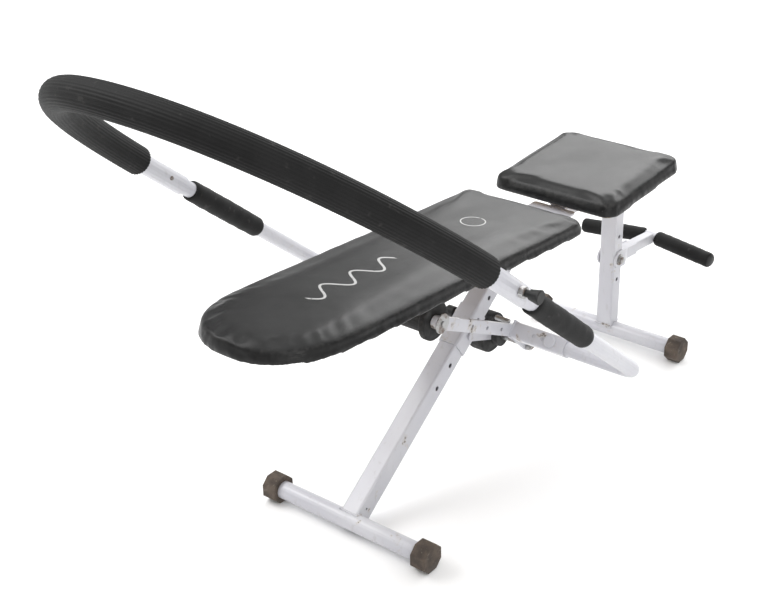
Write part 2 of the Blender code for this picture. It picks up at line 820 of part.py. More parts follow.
def make_ankle(ankle):
    make_ears(ankle)
    width, depth = ANKLE_ARM
    outer = rounded_box(width, depth, 0.003)
    inner = rounded_box(width - 0.003, depth - 0.003, 0.0015)

    def at(y):
        centre = Vector((0.0, y, ankle_line(y)))
        return lambda points: place_ring(centre, ACROSS, UP, points)

    arm_start = ANKLE_BOLT.y + 0.027
    arm_end = ANKLE_APEX.y - ANKLE_BAR_RADIUS - 0.0027
    box_tube("ankle_arm", ankle, (at(arm_start), at(arm_end)), (outer, inner))
    left_end = Vector((-ANKLE_END.x, ANKLE_END.y, ANKLE_END.z))
    bar = [left_end, ANKLE_APEX, ANKLE_END]
    bore = ANKLE_BAR_RADIUS - 0.0015
    pipe("ankle_bar", ankle, bar, UP, ANKLE_BAR_RADIUS, bore, "paint")
    for side, sign in LEFT_RIGHT:
        end = Vector((sign * ANKLE_END.x, ANKLE_END.y, ANKLE_END.z))
        out = (end - ANKLE_APEX).normalized()
        length = (end - ANKLE_APEX).length
        socket = ANKLE_BAR_RADIUS + GAP
        grip = [
            (length + GAP, socket),
            (0.016, socket),
            (0.016, ANKLE_GRIP_RADIUS - 0.001),
            (0.018, ANKLE_GRIP_RADIUS),
            (length + 0.003, ANKLE_GRIP_RADIUS),
            (length + 0.005, ANKLE_GRIP_RADIUS - 0.003),
        ]
        sidewise = UP.cross(out)
        upwards = out.cross(sidewise)
        rings = [
            place_ring(ANKLE_APEX + out * at_, sidewise, upwards, circle(radius))
            for at_, radius in grip
        ]
        loft("ankle_grip_" + side, ankle, rings, "foam")
    make_ankle_bolt(ankle)


def make_ankle_bolt(ankle):
    face = EAR_INNER + EAR_THICK + GAP
    shank = circle(0.0045)
    head = polygon(0.014, 6)
    stations = ((-0.031, shank), (face + 0.002, shank), (face + 0.002, head), (0.0320, head))
    rings = [place_ring(ANKLE_BOLT + ACROSS * x, BACK, UP, outline) for x, outline in stations]
    loft("ankle_bolt", ankle, rings, "steel")
    plate = washer(face, face + 0.0017, 0.013, 0.0048)
    turned("ankle_washer", ankle, ANKLE_BOLT, plate, "steel")
    make_nut("ankle_nut", ankle, ANKLE_BOLT, -face - 0.006, -face, 0.014, 0.0048)


def build():
    clear_scene()
    frame = add_axis("frame_base", Vector((0.0, 0.0, 0.0)))
    make_feet(frame)
    make_beam(frame)
    make_post(frame)
    make_seat_tube(frame)
    make_hinge_plate(frame)
    make_seat(frame)
    make_back(add_axis("pad_axis", PAD_HINGE, frame))
    collar = add_axis("collar_axis", beam_point(LOCK_AT), frame)
    make_collar(collar)
    make_pivot(collar)
    make_lock_pin(add_axis("lock_pin_axis", beam_point(LOCK_AT), collar))
    yoke = add_axis("yoke_axis", PIVOT, collar)
    make_yoke_bars(yoke)
    make_sleeves(yoke)
    make_arms(yoke)
    make_roller(yoke, add_axis("roller_axis", ROLLER, yoke))
    arc = add_axis("arc_axis", yoke_point(0.0, ARC_START), yoke)
    make_arc(arc)
    pull_axis = add_axis("pull_pin_axis", yoke_point(ARM_X, PIN_AT), arc)
    button_axis = add_axis("snap_button_axis", yoke_point(-ARM_X, PIN_AT), arc)
    make_pins(pull_axis, button_axis)
    make_ankle(add_axis("ankle_axis", ANKLE_BOLT, frame))


build()
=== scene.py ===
import json
import math

import bmesh
import bpy
from mathutils import Matrix, Vector, noise


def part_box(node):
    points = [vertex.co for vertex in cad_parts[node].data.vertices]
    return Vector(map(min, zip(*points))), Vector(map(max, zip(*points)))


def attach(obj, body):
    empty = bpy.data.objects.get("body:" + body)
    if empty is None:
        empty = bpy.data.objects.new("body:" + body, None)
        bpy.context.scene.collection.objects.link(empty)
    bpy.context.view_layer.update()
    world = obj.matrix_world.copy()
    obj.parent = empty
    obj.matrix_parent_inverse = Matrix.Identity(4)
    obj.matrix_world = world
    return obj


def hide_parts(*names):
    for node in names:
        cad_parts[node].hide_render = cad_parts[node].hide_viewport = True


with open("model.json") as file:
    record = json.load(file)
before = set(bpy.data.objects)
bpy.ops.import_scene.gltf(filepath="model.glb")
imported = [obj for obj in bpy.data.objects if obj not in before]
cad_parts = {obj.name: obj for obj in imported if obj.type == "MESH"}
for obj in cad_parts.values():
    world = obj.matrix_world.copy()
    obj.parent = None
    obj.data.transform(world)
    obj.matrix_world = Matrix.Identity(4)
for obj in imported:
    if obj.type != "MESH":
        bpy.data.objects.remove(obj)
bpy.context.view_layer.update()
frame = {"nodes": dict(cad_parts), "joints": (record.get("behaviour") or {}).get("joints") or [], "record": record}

# Lengths are metres. The bench's own axes start under the middle of the front foot tube.
FOOT_CENTRE = 0.030
FOOT_LOW, FOOT_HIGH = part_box("front_foot_tube")
BENCH = (FOOT_LOW + FOOT_HIGH) / 2 - Vector((0.0, 0.0, FOOT_CENTRE))
JOINTS = {joint["name"]: joint for joint in frame["joints"]}
SIDES = (("left", -1), ("right", 1))

# The yoke's plane, which holds the arms and the arc
YOKE_ALONG = Vector(JOINTS["arc_extension"]["axis"]).normalized()
YOKE_NORMAL = Vector((0.0, YOKE_ALONG.z, -YOKE_ALONG.y))
CORNER = BENCH + Vector((0.0, 0.383, 0.300))
ARM_X = 0.3745
ARC_STRAIGHT = 0.526
ARC_DEPTH = 0.545
ARC_POWER = 2.12
ARC_STEPS = 120
FOAM_FROM = 0.1653
FOAM_RADIUS = 0.0252
FOAM_RIBS = 30
RIB_HEIGHT = 0.0011
GRIP_ENDS = (0.254, 0.470)
GRIP_RADIUS = 0.0203
GRIP_STEPS = 26

# Ankle bar
ANKLE_APEX = BENCH + Vector((0.0, 1.130, 0.187))
ANKLE_END = Vector((0.163, 1.099, 0.183))
ANKLE_RADIUS = 0.0178

TURN_STEPS = 48

# Frame
BEAM_ANGLE = math.radians(35.65)
BEAM_ALONG = Vector((0.0, math.cos(BEAM_ANGLE), math.sin(BEAM_ANGLE)))
BEAM_UP = Vector((0.0, -math.sin(BEAM_ANGLE), math.cos(BEAM_ANGLE)))
BEAM_FOOT = BENCH + Vector((0.0, 0.0109, 0.028))
BEAM_HALF = (0.0192, 0.0222)
FOOT_RADIUS = 0.0175
SLEEVE_X = 0.1103
SLEEVE_HALF = 0.0165
BEAD_RADIUS = 0.0026
BEAD_PITCH = 0.0032

# Pads: thickness, and rise of the underside per metre toward +Y
BACK_THICK = 0.034
BACK_TILT = -0.0831
SEAT_THICK = 0.036
SEAT_TILT = math.tan(math.radians(3.0))
SWELL_LIMIT = 0.005
BACK_NOSE = 0.175
SEAT_NOSE = 0.030
NOSE_POWER = 2.3
HEM = 0.0190

# Print on the long pad
WAVE_ENDS = (-0.085, 0.155)
WAVE_LENGTH = 0.080
WAVE_HEIGHT = 0.020
PRINT_HALF = 0.0024
RING_AT = (-0.004, 0.400)
RING_RADIUS = 0.024

# Torn spot low on the long pad's nose, inside a light-grey smear that is a painted highlight with some scuffing
TEAR = (0.084, -0.212)
SCUFF_HIGHLIGHT_RADIUS = 0.030
FLAP_RADIUS = 0.012
FLAP_DROP = 0.004

# Pad covers
CLOTH_FRAMES = 20
VOXEL = 0.0055
SMOOTH_ROUNDS = 3
TOP_FROM = 0.55
TOP_DROP = 0.0022
HELD_BELOW = 0.22
LOOSE_ABOVE = 0.5
STAPLE_PITCH = 0.028
STAPLE_SIZE = (0.0014, 0.010, 0.0012)
STAPLE_BEVEL = 0.0003
CORNER_CLEAR = 0.045


# Wear of the finishes
LINKAGE = ("side_bar", "pivot_plate", "cross_sleeve", "collar")
LINKAGE_WEAR = 1.0
FRAME_WEAR = 0.35
WELD_WEAR = 1.2
STEEL_RUST = 0.7
STAPLE_RUST = 0.4

# Camera: angles in degrees, lens and sensor in millimetres
CAMERA_AT = (1.4301, -1.6392, 1.6354)
CAMERA_ANGLES = (39.1204, 27.7898, -1.3658)
CAMERA_LENS = 66.87
CAMERA_SENSOR = 36


# Shader values


class Value:
    """A socket's value, which takes part in Python sums."""

    def __init__(self, shade, socket):
        self.shade = shade
        self.socket = socket

    def sum(self, operation, first, second):
        return self.shade.add("Math", {"operation": operation}, {0: first, 1: second})

    def __add__(self, other):
        return self.sum("ADD", self, other)

    __radd__ = __add__

    def __sub__(self, other):
        return self.sum("SUBTRACT", self, other)

    def __rsub__(self, other):
        return self.sum("SUBTRACT", other, self)

    def __mul__(self, other):
        return self.sum("MULTIPLY", self, other)

    __rmul__ = __mul__

    def sine(self):
        return self.shade.add("Math", {"operation": "SINE"}, {0: self})

    def power(self, exponent):
        return self.sum("POWER", self, exponent)

    def above(self, edge, width):
        """0 below an edge and 1 above it, with a soft step of that width."""
        ramp = {"interpolation_type": "SMOOTHSTEP"}
        inputs = {"Value": self, "From Min": edge - width / 2, "From Max": edge + width / 2}
        return self.shade.add("MapRange", ramp, inputs)


class Shade:
    """A material made of nodes."""

    def __init__(self, name, **constants):
        self.material = bpy.data.materials.new(name)
        self.material.use_nodes = True
        self.tree = self.material.node_tree
        self.shader = self.tree.nodes["Principled BSDF"]
        for socket, value in constants.items():
            self.shader.inputs[socket.replace("_", " ")].default_value = value
        self.place = self.add("TexCoord", {}, {}, "Object")

    def add(self, kind, settings, inputs, output=0):
        node = self.tree.nodes.new("ShaderNode" + kind)
        for key, value in settings.items():
            setattr(node, key, value)
        for key, value in inputs.items():
            if isinstance(value, Value):
                self.tree.links.new(value.socket, node.inputs[key])
            else:
                node.inputs[key].default_value = value
        return Value(self, node.outputs[output])

    def noise(self, scale, detail=3.0, place=None, roughness=0.5):
        where = place or self.place
        inputs = {"Vector": where, "Scale": scale, "Detail": detail, "Roughness": roughness}
        return self.add("TexNoise", {}, inputs, "Fac")

    def cells(self, scale, feature="F1"):
        inputs = {"Vector": self.place, "Scale": scale}
        return self.add("TexVoronoi", {"feature": feature}, inputs, "Distance")

    def stretched(self, scale):
        return self.add("Mapping", {}, {"Vector": self.place, "Scale": scale})

    def across(self, axis):
        return self.add("SeparateXYZ", {}, {"Vector": self.place}, axis)

    def attribute(self, name):
        return self.add("Attribute", {"attribute_name": name}, {}, "Fac")

    def mix(self, amount, first, second):
        inputs = {"Factor": amount, 6: first, 7: second}
        return self.add("Mix", {"data_type": "RGBA"}, inputs, 2)

    def bump(self, height, distance, strength, under=None):
        inputs = {"Height": height, "Distance": distance, "Strength": strength}
        if under is not None:
            inputs["Normal"] = under
        return self.add("Bump", {}, inputs)

    def feed(self, **values):
        for key, value in values.items():
            self.tree.links.new(value.socket, self.shader.inputs[key.replace("_", " ")])
        return self.material


def grey(level):
    return (level, level, level, 1.0)


# Finishes


def paint_finish(name, wear):
    """Light grey paint, a little yellowed, with small chips down to rusty steel."""
    shade = Shade(name, Coat_Weight=0.30, Coat_Roughness=0.16)
    cloudy = shade.noise(5.0, 4.0)
    scuffs = shade.noise(1.0, 5.0, shade.stretched((90, 90, 28)))
    flakes = shade.noise(34.0, 6.0, roughness=0.62)
    regions = shade.noise(6.5, 2.0).above(0.56 - 0.10 * wear, 0.16)
    chips = flakes.above(0.70 - 0.07 * wear, 0.02) * regions
    halo = flakes.above(0.65 - 0.07 * wear, 0.06) * regions
    colour = shade.mix(cloudy.above(0.52, 0.4), (0.49, 0.49, 0.53, 1), (0.56, 0.56, 0.59, 1))
    colour = shade.mix(scuffs.above(0.66, 0.16) * 0.30, colour, (0.33, 0.32, 0.31, 1))
    colour = shade.mix(halo * 0.45, colour, (0.42, 0.36, 0.28, 1))
    rust = shade.mix(shade.noise(160.0, 3.0), (0.055, 0.035, 0.025, 1), (0.17, 0.15, 0.13, 1))
    colour = shade.mix(chips, colour, rust)
    rough = 0.24 + cloudy * 0.16 + scuffs * 0.10 + chips * 0.35
    peel = shade.bump(shade.noise(420.0, 2.0), 0.00012, 0.35)
    relief = shade.bump(1 - halo, 0.0003, 0.6, peel)
    return shade.feed(Base_Color=colour, Roughness=rough, Normal=relief)


def steel_finish(name, rust):
    """Dull plated steel, with rust in patches."""
    shade = Shade(name)
    patches = shade.noise(70.0, 5.0, roughness=0.6).above(0.66 - 0.16 * rust, 0.22)
    brushed = shade.noise(1.0, 3.0, shade.stretched((700, 90, 90)))
    plain = shade.mix(brushed, grey(0.34), grey(0.50))
    brown = shade.mix(shade.noise(190.0, 4.0), (0.07, 0.04, 0.025, 1), (0.17, 0.11, 0.07, 1))
    colour = shade.mix(patches * 0.85, plain, brown)
    rough = 0.30 + brushed * 0.14 + patches * 0.42
    relief = shade.bump(brushed * 0.4 + patches * shade.noise(300.0), 0.00025, 0.7)
    metal = 0.95 - patches * 0.85
    return shade.feed(Base_Color=colour, Roughness=rough, Metallic=metal, Normal=relief)


def cap_finish(name):
    """Brown-grey rubber, dusty and scuffed."""
    shade = Shade(name)
    dust = shade.noise(28.0, 5.0, roughness=0.6)
    marks = shade.noise(150.0, 4.0)
    low = shade.across("Z").above(0.012, 0.02)
    colour = shade.mix(dust.above(0.5, 0.35), (0.040, 0.030, 0.024, 1), (0.105, 0.080, 0.062, 1))
    colour = shade.mix(marks.above(0.66, 0.1) * 0.6, colour, (0.17, 0.145, 0.12, 1))
    colour = shade.mix((1 - low) * 0.4, colour, (0.15, 0.13, 0.11, 1))
    rough = 0.72 + dust * 0.22
    relief = shade.bump(dust * 0.6 + marks * 0.4, 0.0006, 0.7)
    return shade.feed(Base_Color=colour, Roughness=rough, Normal=relief)


def rubber_finish(name):
    """Black moulded rubber, greyed where it has rubbed."""
    shade = Shade(name, Specular_IOR_Level=0.25)
    dust = shade.noise(40.0, 5.0, roughness=0.6)
    colour = shade.mix(dust.above(0.55, 0.3), grey(0.013), grey(0.045))
    rough = 0.50 + dust * 0.30
    relief = shade.bump(shade.noise(260.0, 3.0), 0.0003, 0.5)
    return shade.feed(Base_Color=colour, Roughness=rough, Normal=relief)


def foam_finish(name):
    """Black closed-cell foam with fine pores and a greyish bloom."""
    shade = Shade(name, Specular_IOR_Level=0.20)
    pores = shade.cells(1100.0)
    bloom = shade.noise(13.0, 5.0, roughness=0.6)
    rubbed = shade.noise(55.0, 4.0)
    colour = shade.mix(bloom.above(0.52, 0.4), grey(0.006), grey(0.012))
    colour = shade.mix(rubbed.above(0.68, 0.1) * 0.35, colour, (0.055, 0.052, 0.05, 1))
    rough = 0.56 + bloom * 0.22 - rubbed * 0.06
    relief = shade.bump(pores, 0.00022, 0.55)
    relief = shade.bump(rubbed, 0.0006, 0.35, relief)
    return shade.feed(Base_Color=colour, Roughness=rough, Normal=relief)


def plastic_finish(name):
    """Black moulded plastic with fine scratches."""
    shade = Shade(name, Specular_IOR_Level=0.3)
    scratches = shade.noise(1.0, 4.0, shade.stretched((60, 900, 300)))
    haze = shade.noise(35.0, 3.0)
    colour = shade.mix(scratches.above(0.66, 0.08) * 0.5, grey(0.014), grey(0.06))
    rough = 0.30 + haze * 0.22 + scratches * 0.10
    relief = shade.bump(shade.noise(600.0, 2.0), 0.0001, 0.5)
    return shade.feed(Base_Color=colour, Roughness=rough, Normal=relief)


def board_finish(name):
    """Bare chipboard."""
    shade = Shade(name)
    chips = shade.cells(240.0)
    grain = shade.noise(1.0, 4.0, shade.stretched((260, 60, 260)))
    colour = shade.mix(grain, (0.16, 0.10, 0.055, 1), (0.34, 0.24, 0.14, 1))
    colour = shade.mix(chips.above(0.5, 0.4) * 0.5, colour, (0.42, 0.32, 0.20, 1))
    rough = 0.78 + grain * 0.14
    relief = shade.bump(chips * 0.5 + grain * 0.5, 0.0005, 0.7)
    return shade.feed(Base_Color=colour, Roughness=rough, Normal=relief)


def vinyl_finish(name, printed=False):
    """Glossy black vinyl with a leather grain and stretch lines. Its edges are rubbed grey, and that grey is
    partly a painted highlight along the rounded top edge and the gathers' crests.
    """
    shade = Shade(name, Specular_IOR_Level=0.27, Coat_Weight=0.03, Coat_Roughness=0.2)
    grain = shade.cells(620.0, "DISTANCE_TO_EDGE")
    haze = shade.noise(9.0, 5.0, roughness=0.6)
    creases = shade.noise(1.0, 5.0, shade.stretched((26, 12, 50)), 0.6)
    rub_and_highlight = shade.attribute("rub_and_highlight")
    # The rub mask greys the vinyl. It is partly real rubbing and partly a painted highlight on the rounded top
    # edge and the crests of the gathers.
    rubbed = rub_and_highlight * shade.noise(85.0, 6.0, roughness=0.65).above(0.50, 0.22)
    specks = shade.noise(420.0, 2.0).above(0.74, 0.05)
    colour = shade.mix(haze.above(0.5, 0.4), grey(0.0045), grey(0.0085))
    colour = shade.mix(rubbed * 0.25, colour, (0.11, 0.105, 0.10, 1))
    colour = shade.mix(specks * 0.35, colour, (0.20, 0.20, 0.19, 1))
    if printed:
        colour = shade.mix(wave_print(shade), colour, (0.50, 0.50, 0.49, 1))
        # Light-grey smear around the torn spot: a painted highlight, partly scuff.
        streaks = shade.noise(1.0, 4.0, shade.stretched((60, 90, 420)))
        scuff_and_highlight = shade.attribute("scuff_and_highlight") * streaks.above(0.52, 0.12)
        colour = shade.mix(scuff_and_highlight * 0.8, colour, (0.22, 0.21, 0.20, 1))
    rough = 0.25 + haze * 0.18 + rubbed * 0.10
    relief = shade.bump(grain.above(0.02, 0.05), 0.00010, 0.45)
    relief = shade.bump(creases, 0.0014, 0.25, relief)
    return shade.feed(Base_Color=colour, Roughness=rough, Normal=relief)


def wave_print(shade):
    """A plain printed wave and a plain ring on the pad's top, worn through in places."""
    x = shade.across("X") - BENCH.x
    y = shade.across("Y") - BENCH.y
    turn = (y - WAVE_ENDS[0]) * (math.tau / WAVE_LENGTH)
    swing = WAVE_HEIGHT * turn.sine()
    steep = WAVE_HEIGHT * math.tau / WAVE_LENGTH
    slope = (turn + math.pi / 2).sine() * steep
    off = (x - swing) * (1 + slope * slope).power(-0.5)
    line = 1 - (off * off).above(PRINT_HALF ** 2, PRINT_HALF ** 2 * 0.6)
    span = y.above(WAVE_ENDS[0], 0.001) * (1 - y.above(WAVE_ENDS[1], 0.001))
    out_x, out_y = x - RING_AT[0], y - RING_AT[1]
    radius = (out_x * out_x + out_y * out_y).power(0.5) - RING_RADIUS
    ring = 1 - (radius * radius).above((PRINT_HALF * 0.5) ** 2, PRINT_HALF ** 2 * 0.3)
    worn = shade.noise(95.0, 5.0).above(0.33, 0.08)
    return (line * span + ring) * worn * 0.85


def plain_floor(name):
    shade = Shade(name)
    mottle = shade.noise(2.0, 3.0)
    colour = shade.mix(mottle, grey(0.90), grey(0.92))
    return shade.feed(Base_Color=colour, Roughness=0.55 + mottle * 0.1)


# Pieces


def bench_point(x, y, z):
    return BENCH + Vector((x, y, z))


def yoke_point(x, along):
    return CORNER + Vector((x, 0.0, 0.0)) + YOKE_ALONG * along


def beam_point(along, off, x=0.0):
    return BEAM_FOOT + BEAM_ALONG * along + BEAM_UP * off + Vector((x, 0.0, 0.0))


def new_piece(name, bm, material, body, smooth=40):
    bmesh.ops.recalc_face_normals(bm, faces=bm.faces[:])
    mesh = bpy.data.meshes.new(name)
    bm.to_mesh(mesh)
    bm.free()
    return add_piece(name, mesh, material, body, smooth)


def add_piece(name, mesh, material, body, smooth=40):
    mesh.shade_smooth()
    mesh.set_sharp_from_angle(angle=math.radians(smooth))
    mesh.materials.clear()
    mesh.materials.append(material)
    piece = bpy.data.objects.new(name, mesh)
    bpy.context.scene.collection.objects.link(piece)
    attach(piece, body)
    return piece


def turned(place, direction, profile):
    """A bmesh turned about a line, from (distance along, radius) pairs that end on the line."""
    bm = bmesh.new()
    verts = [bm.verts.new((radius, 0.0, along)) for along, radius in profile]
    edges = [bm.edges.new(pair) for pair in zip(verts, verts[1:])]
    bmesh.ops.spin(
        bm, geom=verts + edges, cent=(0, 0, 0), axis=(0, 0, 1),
        angle=math.tau, steps=TURN_STEPS, use_merge=True,
    )
    bmesh.ops.remove_doubles(bm, verts=bm.verts[:], dist=1e-6)
    turn = direction.to_track_quat("Z", "Y").to_matrix().to_4x4()
    bmesh.ops.transform(bm, matrix=Matrix.Translation(place) @ turn, verts=bm.verts[:])
    return bm


def line_curve(name, points, cyclic):
    """A curve of straight steps, closed into a ring if it is cyclic."""
    curve = bpy.data.curves.new(name, "CURVE")
    curve.dimensions = "3D"
    spline = curve.splines.new("POLY")
    spline.points.add(len(points) - 1)
    for point, place in zip(spline.points, points):
        point.co = (*place, 1.0)
    spline.use_cyclic_u = cyclic
    return curve


def swept_mesh(name, path, outline):
    """A closed mesh of an outline swept along a path."""
    shape = bpy.data.objects.new(name + "_outline", line_curve(name + "_outline", outline, True))
    curve = line_curve(name + "_path", path, False)
    curve.twist_mode = "MINIMUM"
    curve.bevel_mode = "OBJECT"
    curve.bevel_object = shape
    curve.use_fill_caps = True
    guide = bpy.data.objects.new(name + "_path", curve)
    for obj in (shape, guide):
        bpy.context.scene.collection.objects.link(obj)
    graph = bpy.context.evaluated_depsgraph_get()
    mesh = bpy.data.meshes.new_from_object(guide.evaluated_get(graph), depsgraph=graph)
    for obj in (shape, guide):
        data = obj.data
        bpy.data.objects.remove(obj)
        bpy.data.curves.remove(data)
    bm = bmesh.new()
    bm.from_mesh(mesh)
    bmesh.ops.remove_doubles(bm, verts=bm.verts[:], dist=1e-6)
    bmesh.ops.recalc_face_normals(bm, faces=bm.faces[:])
    bm.to_mesh(mesh)
    bm.free()
    return mesh


# Foam


def arc_foam(material):
    """The arc's foam, with fine ribs along its length."""
    path = []
    for i in range(ARC_STEPS + 1):
        t = FOAM_FROM + (math.pi - 2 * FOAM_FROM) * i / ARC_STEPS
        across = math.copysign(abs(math.cos(t)) ** (2 / ARC_POWER) * ARM_X, math.cos(t))
        along = ARC_STRAIGHT + math.sin(t) ** (2 / ARC_POWER) * ARC_DEPTH
        path.append(yoke_point(across, along))
    sides = FOAM_RIBS * 4
    outline = []
    for i in range(sides):
        turn = math.tau * i / sides
        radius = FOAM_RADIUS + RIB_HEIGHT * abs(math.cos(turn * FOAM_RIBS / 2))
        outline.append((radius * math.cos(turn), radius * math.sin(turn), 0.0))
    mesh = swept_mesh("arc_foam_cover", path, outline)
    foam = add_piece("arc_foam_cover", mesh, material, "arc", 70)
    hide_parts("arc_foam")


def foam_grip(name, node, body, start, end, radius, material):
    """A pushed-on foam tube, fuller in the middle, with soft worn ends."""
    along = end - start
    length = along.length
    profile = [(0.0, 0.0), (0.0, radius - 0.0035), (0.0012, radius - 0.0016)]
    for i in range(GRIP_STEPS + 1):
        part = i / GRIP_STEPS
        at = 0.004 + (length - 0.008) * part
        swell = 0.0005 * math.sin(math.pi * part) + 0.00022 * math.sin(41 * part + 7 * radius)
        profile.append((at, radius - 0.0006 + swell))
    profile += [(length - 0.0012, radius - 0.0016), (length, radius - 0.0035), (length, 0.0)]
    bm = turned(start, along.normalized(), profile)
    for vert in bm.verts:
        lift = noise.noise(vert.co * 45) * 0.0005
        vert.co += vert.normal * lift
    grip = new_piece(name, bm, material, body, 60)
    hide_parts(node)


def grips():
    foam = foam_finish("grip_foam")
    for side, sign in SIDES:
        start, end = (yoke_point(sign * ARM_X, along) for along in GRIP_ENDS)
        node = "hand_grip_" + side
        foam_grip(node + "_foam", node, "yoke", start, end, GRIP_RADIUS, foam)
        tip = bench_point(sign * ANKLE_END.x, ANKLE_END.y, ANKLE_END.z)
        out = (tip - ANKLE_APEX).normalized()
        node = "ankle_grip_" + side
        inner = ANKLE_APEX + out * 0.016
        outer = tip + out * 0.004
        foam_grip(node + "_foam", node, "ankle_bar", inner, outer, ANKLE_RADIUS, foam)
        plug = [(-0.002, 0.0), (-0.002, 0.0142), (0.0010, 0.0142), (0.0022, 0.0128), (0.0024, 0.0)]
        bm = turned(outer, out, plug)
        finish = plastic_finish("plug_" + side)
        new_piece("ankle_plug_" + side, bm, finish, "ankle_bar")


# Pads


def merged_copy(node):
    bm = bmesh.new()
    bm.from_mesh(frame["nodes"][node].data)
    bmesh.ops.remove_doubles(bm, verts=bm.verts[:], dist=1e-5)
    return bm


def remeshed(name, bm):
    mesh = bpy.data.meshes.new(name)
    bm.to_mesh(mesh)
    bm.free()
    block = bpy.data.objects.new(name, mesh)
    bpy.context.scene.collection.objects.link(block)
    even = block.modifiers.new("even", "REMESH")
    even.mode = "VOXEL"
    even.voxel_size = VOXEL
    graph = bpy.context.evaluated_depsgraph_get()
    block.data = bpy.data.meshes.new_from_object(block.evaluated_get(graph), depsgraph=graph)
    block.modifiers.clear()
    return block


def inflate(block, held):
    """Cloth under pressure. Each point is held by its weight, and none moves past SWELL_LIMIT."""
    pins = block.vertex_groups.new(name="held")
    for index, weight in enumerate(held):
        if weight > 0:
            pins.add([index], weight, "REPLACE")
    cloth = block.modifiers.new("cloth", "CLOTH")
    cloth.settings.quality = 5
    cloth.settings.mass = 0.25
    cloth.settings.tension_stiffness = 12
    cloth.settings.compression_stiffness = 12
    cloth.settings.shear_stiffness = 6
    cloth.settings.bending_stiffness = 1.5
    cloth.settings.use_pressure = True
    cloth.settings.uniform_pressure_force = 4
    cloth.settings.vertex_group_mass = "held"
    cloth.settings.effector_weights.gravity = 0
    cloth.collision_settings.use_collision = False
    cloth.point_cache.frame_end = CLOTH_FRAMES
    scene = bpy.context.scene
    for step in range(1, CLOTH_FRAMES + 1):
        scene.frame_set(step)
    graph = bpy.context.evaluated_depsgraph_get()
    swollen = block.evaluated_get(graph).to_mesh()
    moves = [after.co - before.co for after, before in zip(swollen.vertices, block.data.vertices)]
    block.evaluated_get(graph).to_mesh_clear()
    block.modifiers.clear()
    block.vertex_groups.clear()
    for vert, move in zip(block.data.vertices, moves):
        if move.length > SWELL_LIMIT:
            move = move.normalized() * SWELL_LIMIT
        vert.co += move
    scene.frame_set(1)


def pad_cover(name, node, body, material, thickness, tilt):
    """A vinyl-covered pad blown up from the CAD pad, with pleats down its sides."""
    low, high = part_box(node)
    bm = merged_copy(node)
    base = min(vert.co.z - tilt * (vert.co.y - low.y) for vert in bm.verts)

    def height_share(place):
        return (place.z - tilt * (place.y - low.y) - base) / thickness

    for vert in bm.verts:
        share = height_share(vert.co)
        if share > TOP_FROM:
            vert.co.z -= TOP_DROP * share
    bmesh.ops.recalc_face_normals(bm, faces=bm.faces[:])
    block = remeshed(name, bm)
    held = []
    for vert in block.data.vertices:
        share = height_share(vert.co)
        held.append(1.0 if share < HELD_BELOW else max(0.0, LOOSE_ABOVE - share))
    inflate(block, held)
    cover = bmesh.new()
    cover.from_mesh(block.data)
    for _ in range(SMOOTH_ROUNDS):
        bmesh.ops.smooth_vert(
            cover, verts=cover.verts[:], factor=0.5,
            use_axis_x=True, use_axis_y=True, use_axis_z=True,
        )
    bmesh.ops.subdivide_edges(cover, edges=cover.edges[:], cuts=1, use_grid_fill=True, smooth=0.6)
    cover.normal_update()
    fit_outline(cover, low, high)
    cover.normal_update()
    rub_and_highlight = cover.verts.layers.float.new("rub_and_highlight")
    scuff_and_highlight = cover.verts.layers.float.new("scuff_and_highlight")
    moves = {}
    for vert in cover.verts:
        share = height_share(vert.co)
        up = vert.normal.z
        moves[vert] = vert.normal * pleat_height(vert.co, share, up)
        # Painted highlight, partly rub: grey along the rounded top edge and on the crests of the side gathers.
        vert[rub_and_highlight] = rub_and_highlight_amount(vert.co, share, up)
        # Mask for the light-grey smear on the sides around the torn spot: a painted highlight, partly scuff.
        spot = Vector((vert.co.x - BENCH.x - TEAR[0], vert.co.y - BENCH.y - TEAR[1])).length
        vert[scuff_and_highlight] = max(0.0, 1.0 - spot / SCUFF_HIGHLIGHT_RADIUS) * max(0.0, 1.0 - abs(up) * 1.3)
        if share < 0.35 and spot < FLAP_RADIUS:
            moves[vert] += Vector((0.0, 0.0, -FLAP_DROP * (1.0 - spot / FLAP_RADIUS)))
    for vert, move in moves.items():
        vert.co += move
    cover.to_mesh(block.data)
    cover.free()
    mesh = block.data
    bpy.data.objects.remove(block)
    piece = add_piece(name, mesh, material, body, 80)
    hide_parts(node)


def fit_outline(cover, low, high):
    """Stretch the cover so that it fills the CAD pad's length and width again."""
    for axis in (0, 1):
        places = [vert.co[axis] for vert in cover.verts]
        middle = (low[axis] + high[axis]) / 2
        cover_middle = (min(places) + max(places)) / 2
        stretch = (high[axis] - low[axis]) / (max(places) - min(places))
        for vert in cover.verts:
            vert.co[axis] = middle + (vert.co[axis] - cover_middle) * stretch


def pleat_height(place, share, up):
    """How far the vinyl stands in or out: gathers on the sides, and slow waves on top."""
    side = max(0.0, 1.0 - abs(up) * 1.6)
    gathers = noise.noise(Vector((place.x * 70, place.y * 70, place.z * 9)))
    ridges = noise.noise(Vector((place.x * 170, place.y * 170, place.z * 16 + 5)))
    waves = noise.noise(Vector((place.x * 9, place.y * 7, 3.0)))
    dents = noise.noise(Vector((place.x * 30, place.y * 24, 9.0)))
    low = max(0.0, 0.8 - share) + 0.06
    on_side = side * low * (gathers * 0.0021 + ridges * 0.0010)
    on_top = max(0.0, up) * (waves * 0.0012 + dents * 0.00025)
    return on_side + on_top


def rub_and_highlight_amount(place, share, up):
    """Where the vinyl is greyed, partly rubbed and partly a painted highlight: along the rounded top edge and at
    the gathers' crests.
    """
    # Painted highlight: a grey band on the rounded top edge, chosen by which way the surface faces, and grey on
    # the gathers' crests.
    edge = max(0.0, 1.0 - abs(up - 0.62) / 0.30) if share > 0.5 else 0.0
    crest = max(0.0, noise.noise(Vector((place.x * 75, place.y * 75, place.z * 9))))
    side = max(0.0, 1.0 - abs(up) * 1.8) * crest * 0.9
    return min(1.0, edge * 0.75 + side)


